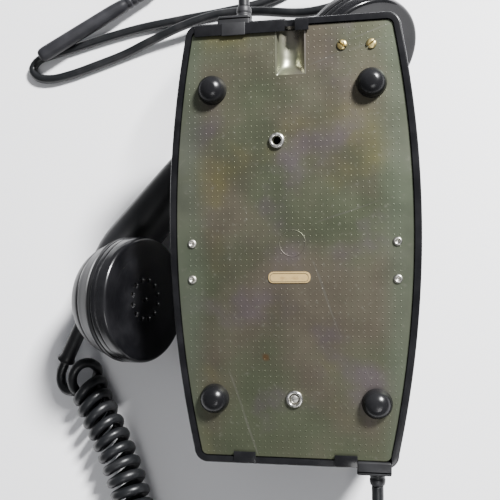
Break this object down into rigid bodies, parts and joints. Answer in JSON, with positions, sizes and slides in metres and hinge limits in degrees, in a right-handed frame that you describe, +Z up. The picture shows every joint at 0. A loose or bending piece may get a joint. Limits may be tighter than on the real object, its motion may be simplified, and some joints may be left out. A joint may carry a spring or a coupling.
{
  "type": "slimline telephone",
  "caption": "Slimline dial telephone lying face down on its handset: bowed black housing with a plated base plate, cradle plungers, curly cord and line cord.",
  "frame": {"origin": "centre of the footprint of the body and handset on the table, at the table surface", "axes": "+X to the right and +Y towards the top end of the body as seen from above, +Z up from the table"},
  "size_m": [0.2369, 0.4405, 0.0892],
  "materials": {
    "black_shell": "glossy",
    "rubber": "satin",
    "cord_skin": "satin",
    "plated_steel": "satin",
    "bright_steel": "polished",
    "brass": "satin",
    "label": "matte",
    "ivory_plastic": "satin",
    "board": "matte",
    "winding": "satin"
  },
  "bodies": {
    "phone_body": {"housing": "black_shell", "dial_frame": "black_shell", "rubber_foot_1": "rubber", "rubber_foot_2": "rubber", "rubber_foot_3": "rubber", "rubber_foot_4": "rubber", "line_cord_gland": "rubber", "handset_cord_gland": "rubber", "line_plug": "rubber", "line_cord_run": "cord_skin", "line_cord_end": "cord_skin", "line_cord_coil": "cord_skin", "curly_cord_coils": "cord_skin", "curly_cord_handset_lead": "cord_skin", "curly_cord_body_lead": "cord_skin", "base_plate": "plated_steel", "hanging_channel": "plated_steel", "fixing_sleeve": "bright_steel", "screw_ferrule": "bright_steel", "case_screw": "bright_steel", "plate_rivet_1": "bright_steel", "plate_rivet_2": "bright_steel", "plate_rivet_3": "bright_steel", "plate_rivet_4": "bright_steel", "gong_left": "bright_steel", "gong_right": "bright_steel", "finger_stop": "bright_steel", "hook_leaf_spring": "bright_steel", "terminal_screw_1": "brass", "terminal_screw_2": "brass", "label_plate": "label", "number_plate": "ivory_plastic", "capacitor": "ivory_plastic", "terminal_block": "ivory_plastic", "pulse_contacts": "ivory_plastic", "contact_stack": "ivory_plastic", "circuit_board": "board", "transformer": "winding", "ringer_coil": "winding"},
    "dial": {"finger_wheel": "black_shell", "wheel_cap": "bright_steel", "dial_shaft": "bright_steel", "main_gear": "brass", "return_spring": "bright_steel"},
    "governor": {"governor_pinion": "brass", "governor_drum": "brass"},
    "hook": {"hook_plunger_left": "ivory_plastic", "hook_plunger_right": "ivory_plastic", "hook_bar": "bright_steel"},
    "clapper": {"clapper": "bright_steel"},
    "handset": {"handset_shell": "black_shell", "mouth_cap": "black_shell", "ear_cap": "black_shell", "transmitter_capsule": "bright_steel", "receiver_capsule": "bright_steel", "handset_cord_sleeve": "rubber"}
  },
  "joints": [
    {"name": "dial_turn", "type": "hinge", "parent": "phone_body", "child": "dial", "pos_m": [0.0375, -0.00215, 0.02397], "axis": [0, -0.3337, 0.9427], "range_deg": [0, 330], "stiffness_Nm_per_rad": 0.002, "springref_deg": -28.65},
    {"name": "governor_spin", "type": "hinge", "parent": "phone_body", "child": "governor", "pos_m": [0.055, -0.00782, 0.03999], "axis": [0, -0.3337, 0.9427], "range_deg": [-1320, 0]},
    {"name": "hook_press", "type": "slide", "parent": "phone_body", "child": "hook", "axis": [0, -0.3337, 0.9427], "range_m": [0, 0.007], "stiffness_N_per_m": 120, "springref_m": -0.004},
    {"name": "clapper_swing", "type": "hinge", "parent": "phone_body", "child": "clapper", "pos_m": [0.0375, -0.06611, 0.01809], "axis": [0, -0.2079, 0.9781], "range_deg": [-8, 8], "stiffness_Nm_per_rad": 0.001},
    {"name": "handset_swing", "type": "hinge", "parent": "phone_body", "child": "handset", "pos_m": [0.0667, 0.08426, 0.03263], "axis": [0, 0, -1], "range_deg": [0, 30]}
  ],
  "couplings": [
    {"joint": "governor_spin", "follows": "dial_turn", "ratio": -4}
  ]
}
